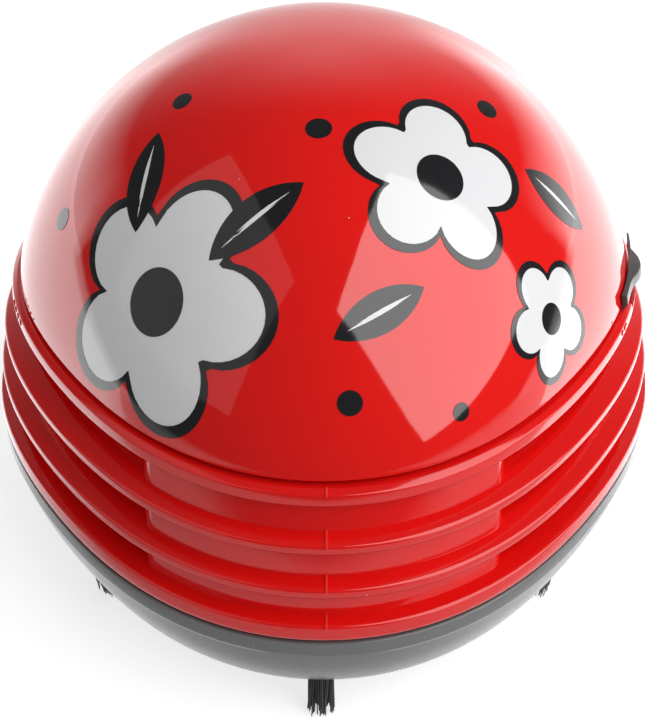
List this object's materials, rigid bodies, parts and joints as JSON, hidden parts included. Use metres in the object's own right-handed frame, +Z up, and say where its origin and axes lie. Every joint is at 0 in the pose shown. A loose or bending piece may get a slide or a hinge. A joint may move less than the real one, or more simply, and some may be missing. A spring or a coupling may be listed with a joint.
{
  "type": "desktop mini vacuum cleaner",
  "caption": "Egg shaped desktop mini vacuum cleaner with a glossy dome cover, ribbed exhaust collar, bowl base on bristle tufts, slide switch, motor, fan and filter.",
  "frame": {"origin": "on the table under the middle of the outline, at the bristle tips", "axes": "+Z up, +Y towards the back, so the front with the blind panel faces -Y; +X towards the switch knob's side"},
  "size_m": [0.0972, 0.1062, 0.0742],
  "materials": {
    "dome_red": "high gloss injection moulded ABS, signal red",
    "collar_red": "gloss injection moulded ABS, signal red",
    "base_grey": "satin moulded ABS, dark grey",
    "knob_grey": "satin moulded ABS, dark grey",
    "rubber_black": "soft matt rubber",
    "inner_grey": "moulded ABS, light grey",
    "inner_white": "moulded nylon, off white",
    "filter_cloth": "non woven filter cloth",
    "motor_steel": "drawn steel can",
    "bright_steel": "nickel plated steel",
    "bearing_brass": "sintered bronze",
    "switch_black": "moulded black plastic",
    "cell_sleeve": "plain green sleeve over a steel can, no lettering",
    "bristle_black": "black nylon bristle",
    "wire_black": "black insulation",
    "wire_red": "red insulation"
  },
  "bodies": {
    "housing": {"collar": "collar_red", "base_shell": "base_grey", "suction_mouth": "base_grey", "dome_seal": "rubber_black", "dust_deck": "inner_grey", "intake_duct": "inner_grey", "fan_housing": "inner_grey", "motor_endcap": "inner_white", "motor_can": "motor_steel", "front_bearing": "bearing_brass", "switch_body": "switch_black", "brush_front": "bristle_black", "brush_right": "bristle_black", "brush_rear": "bristle_black", "brush_left": "bristle_black", "battery_left": "cell_sleeve", "contact_tab_left": "bright_steel", "contact_spring_left": "bright_steel", "battery_right": "cell_sleeve", "contact_tab_right": "bright_steel", "contact_spring_right": "bright_steel", "base_screw_1": "bright_steel", "base_screw_2": "bright_steel", "base_screw_3": "bright_steel", "base_screw_4": "bright_steel", "motor_screw_1": "bright_steel", "motor_screw_2": "bright_steel", "wire_link": "wire_black", "wire_motor": "wire_black", "wire_switch": "wire_red", "wire_return": "wire_red"},
    "dome": {"dome_cover": "dome_red"},
    "filter": {"filter_frame": "inner_white", "filter_mesh": "filter_cloth"},
    "rotor": {"motor_shaft": "bright_steel", "impeller": "inner_white"},
    "knob": {"power_knob": "knob_grey", "switch_toggle": "inner_white"},
    "door_left": {"battery_door_left": "base_grey"},
    "door_right": {"battery_door_right": "base_grey"}
  },
  "joints": [
    {"name": "dome_lift", "type": "slide", "parent": "housing", "child": "dome", "axis": [0, 0, 1], "range_m": [0, 0.045]},
    {"name": "filter_lift", "type": "slide", "parent": "housing", "child": "filter", "axis": [0, 0, 1], "range_m": [0, 0.012]},
    {"name": "rotor_spin", "type": "hinge", "parent": "housing", "child": "rotor", "pos_m": [0, -0.0045, 0.03], "axis": [0, 0, 1], "continuous": true},
    {"name": "switch_slide", "type": "slide", "parent": "housing", "child": "knob", "axis": [-0.1553, -0.9879, 0], "range_m": [0, 0.003]},
    {"name": "door_left_unclip", "type": "slide", "parent": "housing", "child": "door_left", "axis": [0, 0, -1], "range_m": [0, 0.0045]},
    {"name": "door_right_unclip", "type": "slide", "parent": "housing", "child": "door_right", "axis": [0, 0, -1], "range_m": [0, 0.0045]}
  ]
}
